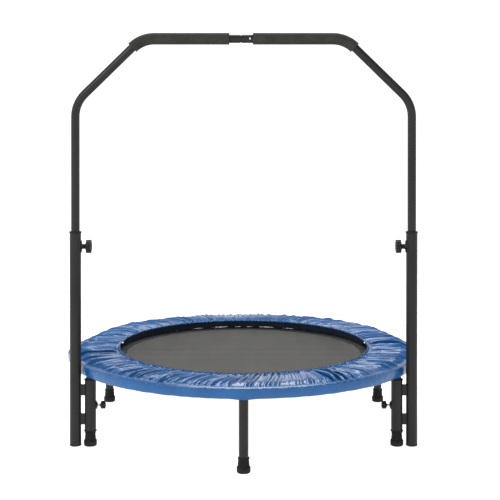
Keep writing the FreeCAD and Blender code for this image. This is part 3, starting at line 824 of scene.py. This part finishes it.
def make_mat():
    edge = MAT_RADIUS * 0.9995
    inside = FOLD_HALF_SPAN - MAT_CREASE
    outside = FOLD_HALF_SPAN + MAT_CREASE
    spans = (("cloth_front", -edge, -outside, "mat_front"),
             ("cloth_middle", -inside, inside, "mat_middle"),
             ("cloth_rear", outside, edge, "mat_rear"))
    for name, low_y, high_y, body in spans:
        piece = mat_piece(name, low_y, high_y, body)
        nearest = 0.0 if low_y < 0 < high_y else min(abs(low_y), abs(high_y))
        widest = 2 * math.sqrt(MAT_RADIUS ** 2 - nearest ** 2)
        area = min(strip_area(low_y, high_y), widest * (high_y - low_y))
    fold = math.asin(outside / (MAT_RADIUS - BAND_WIDTH))
    for half, start in (("rear", 0.0), ("front", math.pi)):
        band_piece("webbing_" + half, start + fold, start + math.pi - fold, "mat_" + half)
        ring_loops("ring_loops_" + half, spring_bearings(start), "mat_" + half)
    middle = math.asin(inside / MAT_RADIUS)
    band_piece("webbing_middle_right", -middle, middle, "mat_middle")
    band_piece("webbing_middle_left", math.pi - middle, math.pi + middle, "mat_middle")


# ---- Springs ----
def spring_line(angle):
    """The wire's line of one coil spring: hook at the frame, close coils, hook at the V-ring."""
    outer = RING_RADIUS - RING_TUBE_R + 0.0015
    inner = V_RING_TIP - 0.0030
    coil_start = outer - 0.012
    coil_end = inner + 0.011
    out = Vector((math.cos(angle), math.sin(angle), 0))
    across = Vector((-out.y, out.x, 0))
    turns = int((coil_start - coil_end) / (COIL_WIRE * 2.25))
    points = []
    for share, height in ((0.0, -0.001), (0.35, 0.0012), (0.7, 0.0022)):
        points.append(out * (outer - 0.012 * share) + Vector((0, 0, MAT_PLANE + height)))
    steps = turns * TURN_STEPS
    for i in range(steps + 1):
        a = TAU * i / TURN_STEPS + math.pi / 2
        along = coil_start + (coil_end - coil_start) * i / steps
        swell = COIL_RADIUS * min(1.0, 0.35 + 3.0 * min(i, steps - i) / TURN_STEPS)
        height = MAT_PLANE + swell * math.sin(a)
        points.append(out * along + across * (swell * math.cos(a)) + Vector((0, 0, height)))
    for k in range(9):
        a = math.pi * 1.25 * k / 8
        hook = Vector((0, 0, 0.0030 * math.cos(a)))
        reach = coil_end - 0.008 - 0.0035 * math.sin(a)
        points.append(out * reach + hook + Vector((0, 0, MAT_PLANE)))
    return points


def make_springs():
    for half, start in (("front", math.pi), ("rear", 0.0)):
        for i, angle in enumerate(spring_bearings(start)):
            spring = tube_along(spring_line(angle), COIL_WIRE, 6, "spring_{}_{:02d}".format(half, i + 1))
            dress(spring, "spring_steel")
            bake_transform(spring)
            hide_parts("springs_" + half)


# ---- Studio ----
FLOOR_REACH = 60


def make_studio():
    corners = [(FLOOR_REACH * x, FLOOR_REACH * y, 0) for x, y in ((-1, -1), (1, -1), (1, 1), (-1, 1))]
    floor = new_object("floor", corners, [(0, 1, 2, 3)])
    floor.data.materials.append(floor_paint())
    world = bpy.data.worlds.new("studio")
    bpy.context.scene.world = world
    world.use_nodes = True
    tree = world.node_tree
    height = tree.nodes.new("ShaderNodeSeparateXYZ")
    tree.links.new(tree.nodes.new("ShaderNodeTexCoord").outputs["Generated"], height.inputs[0])
    ceiling = tree.nodes.new("ShaderNodeMapRange")
    for socket, value in (("From Min", 0.24), ("From Max", 0.60), ("To Min", 1.30), ("To Max", 0.30)):
        ceiling.inputs[socket].default_value = value
    tree.links.new(height.outputs["Z"], ceiling.inputs["Value"])
    tree.links.new(ceiling.outputs["Result"], tree.nodes["Background"].inputs["Strength"])
    tree.nodes["Background"].inputs["Color"].default_value = (1.0, 1.0, 1.0, 1.0)
    area_light("key", (-2.2, -2.6, 3.2), (0, 0, 0.3), 1.4, 80)
    area_light("top", (0.1, 1.3, 3.3), (0, 0, 0.2), 1.8, 100)


def area_light(name, place, target, size, power):
    data = bpy.data.lights.new(name, "AREA")
    data.size = size
    data.energy = power
    lamp = bpy.data.objects.new(name, data)
    lamp.location = place
    lamp.rotation_euler = (Vector(target) - Vector(place)).to_track_quat("-Z", "Y").to_euler()
    bpy.context.scene.collection.objects.link(lamp)


def make_camera():
    """A long lens a little under a metre up, looking along +Y, with the bed low in its frame."""
    data = bpy.data.cameras.new("camera")
    data.sensor_width = 36.0
    data.lens = 88.8
    data.shift_x = 0.0128
    data.shift_y = -0.30
    data.clip_end = 60.0
    camera = bpy.data.objects.new("camera", data)
    camera.location = (0.0, -3.694, 0.9856)
    camera.rotation_euler = (math.radians(90 - 0.32), 0.0, 0.0)
    bpy.context.scene.collection.objects.link(camera)
    bpy.context.scene.camera = camera


def main():
    bpy.context.scene.view_settings.view_transform = "Standard"
    make_camera()
    make_studio()
    dress_cad_nodes()
    make_covers()
    make_mat()
    make_springs()


main()
